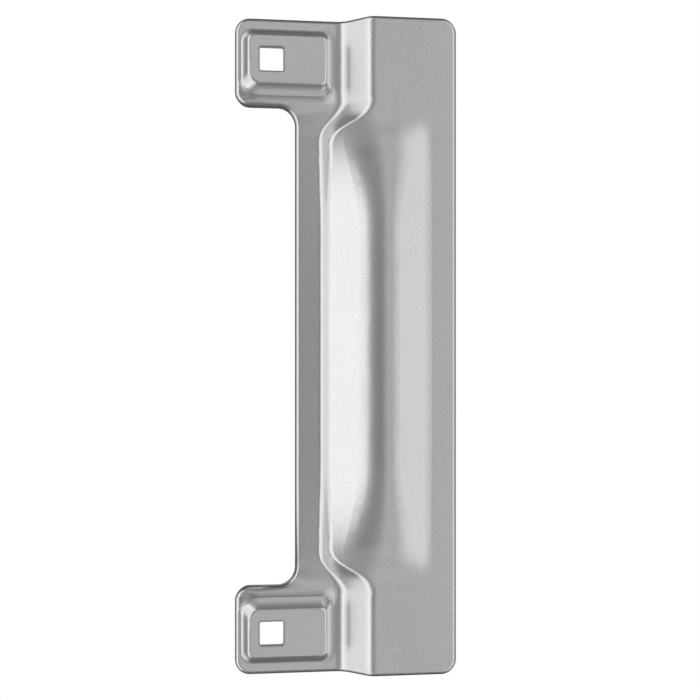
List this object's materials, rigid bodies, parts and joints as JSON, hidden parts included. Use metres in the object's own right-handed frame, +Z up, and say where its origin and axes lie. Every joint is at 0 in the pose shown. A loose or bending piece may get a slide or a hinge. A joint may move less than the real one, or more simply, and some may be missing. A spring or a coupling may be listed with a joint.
{
  "type": "latch protector plate",
  "caption": "Pressed steel guard plate with a notched door side, raised bolt pads with square holes and an offset flap that laps over the gap between door and frame.",
  "frame": {"origin": "on the door's face, midway between the two square bolt holes", "axes": "+Z up the door along the plate, -Y out of the door towards the viewer, +X from the bolts towards the door frame"},
  "size_m": [0.0935, 0.018, 0.2794],
  "materials": {
    "plate_steel": "satin silver-grey steel with a fine even grain, sheared edges broken at the front"
  },
  "bodies": {
    "root": {"latch_guard_plate": "plate_steel"}
  },
  "joints": []
}
